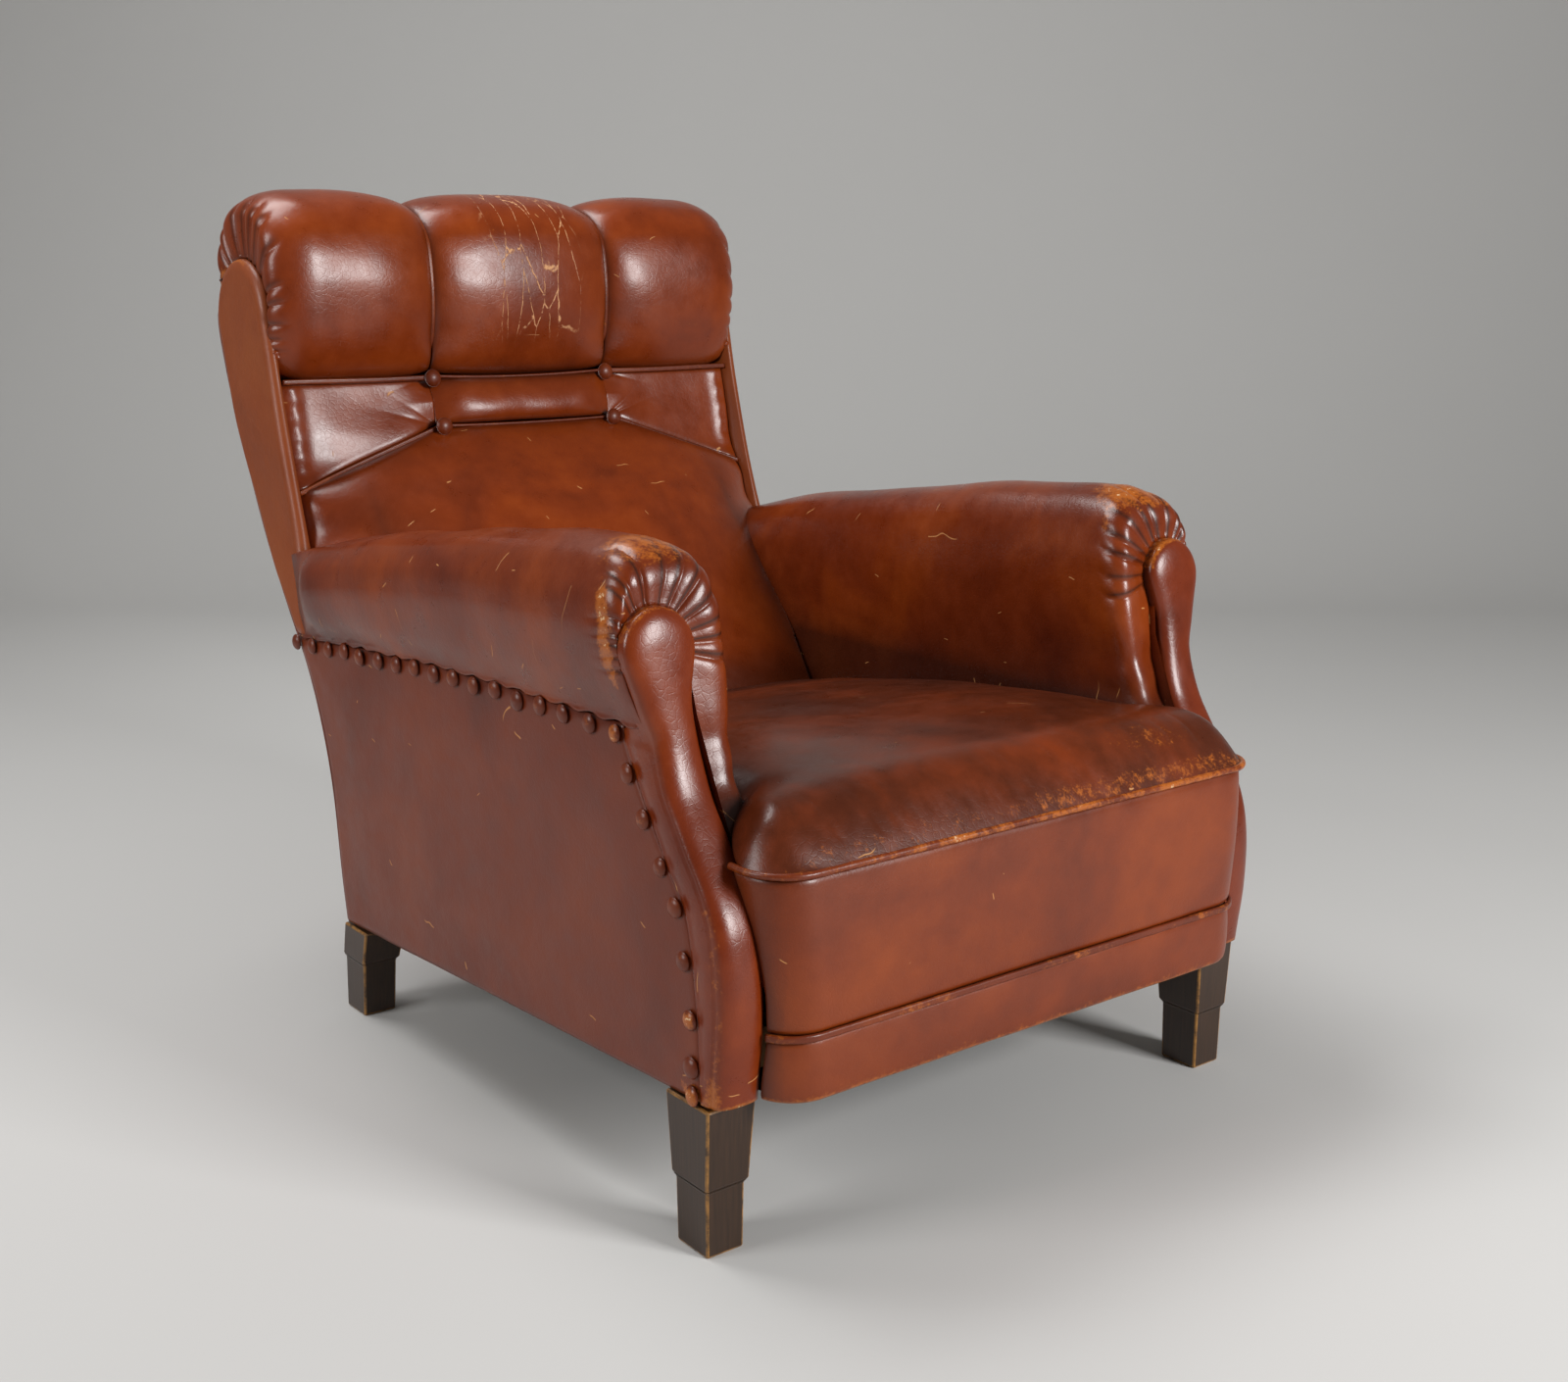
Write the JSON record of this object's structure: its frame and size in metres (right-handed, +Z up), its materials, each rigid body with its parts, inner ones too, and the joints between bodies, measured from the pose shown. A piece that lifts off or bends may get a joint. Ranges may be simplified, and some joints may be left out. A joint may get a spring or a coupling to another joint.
{
  "type": "worn club chair",
  "caption": "Deep leather club chair with rolled arms, a buttoned head roll, nailed side panels and four stained square legs, well worn.",
  "frame": {"origin": "middle of the footprint of the whole chair, on the floor", "axes": "+Z up; the chair faces -Y; +X is to the right as seen from the front"},
  "size_m": [0.746, 1.121, 0.947],
  "materials": {
    "stained_wood": "dark stain, rubbed through on the corners",
    "beech": "sawn and planed, unfinished",
    "jute": "coarse woven jute",
    "spring_steel": "drawn wire, lightly oiled",
    "dust_cloth": "thin black cloth",
    "arm_leather": "polished, scratched, worn orange at the fronts",
    "facing_leather": "polished, rubbed orange at the edges",
    "panel_leather": "satin, lightly scratched",
    "seat_leather": "dark, polished by use, creased along the front",
    "front_leather": "polished, nicked along the lower edge",
    "welt_leather": "rubbed pale along the crest",
    "back_leather": "polished, cracked on the middle of the head roll"
  },
  "bodies": {
    "root": {"front_leg_left": "stained_wood", "front_leg_right": "stained_wood", "rear_leg_post_left": "stained_wood", "rear_leg_post_right": "stained_wood", "arm_stump_left": "beech", "arm_stump_right": "beech", "arm_rail_left": "beech", "arm_rail_right": "beech", "back_top_rail": "beech", "back_middle_rail": "beech", "front_rail": "beech", "rear_rail": "beech", "side_rail_left": "beech", "side_rail_right": "beech", "front_corner_block_left": "beech", "front_corner_block_right": "beech", "rear_corner_block_left": "beech", "rear_corner_block_right": "beech", "webbing_long_1": "jute", "webbing_long_2": "jute", "webbing_long_3": "jute", "webbing_cross_1": "jute", "webbing_cross_2": "jute", "spring_canvas": "jute", "seat_spring_1": "spring_steel", "seat_spring_2": "spring_steel", "seat_spring_3": "spring_steel", "seat_spring_4": "spring_steel", "seat_spring_5": "spring_steel", "seat_spring_6": "spring_steel", "seat_spring_7": "spring_steel", "seat_spring_8": "spring_steel", "seat_spring_9": "spring_steel", "dust_cover": "dust_cloth", "arm_pad_left": "arm_leather", "arm_pad_right": "arm_leather", "arm_facing_left": "facing_leather", "arm_facing_right": "facing_leather", "back_facing_left": "facing_leather", "back_facing_right": "facing_leather", "side_panel_left": "panel_leather", "side_panel_right": "panel_leather", "outside_back": "panel_leather", "seat_cushion": "seat_leather", "seat_apron": "front_leather", "bottom_band": "front_leather", "seat_welt": "welt_leather", "lower_welt": "welt_leather", "button_upper_left": "welt_leather", "button_upper_right": "welt_leather", "button_lower_left": "welt_leather", "button_lower_right": "welt_leather", "lower_back_pad": "back_leather", "neck_bolster": "back_leather", "neck_side_left": "back_leather", "neck_side_right": "back_leather", "head_roll_middle": "back_leather", "head_roll_left": "back_leather", "head_roll_right": "back_leather"}
  },
  "joints": []
}
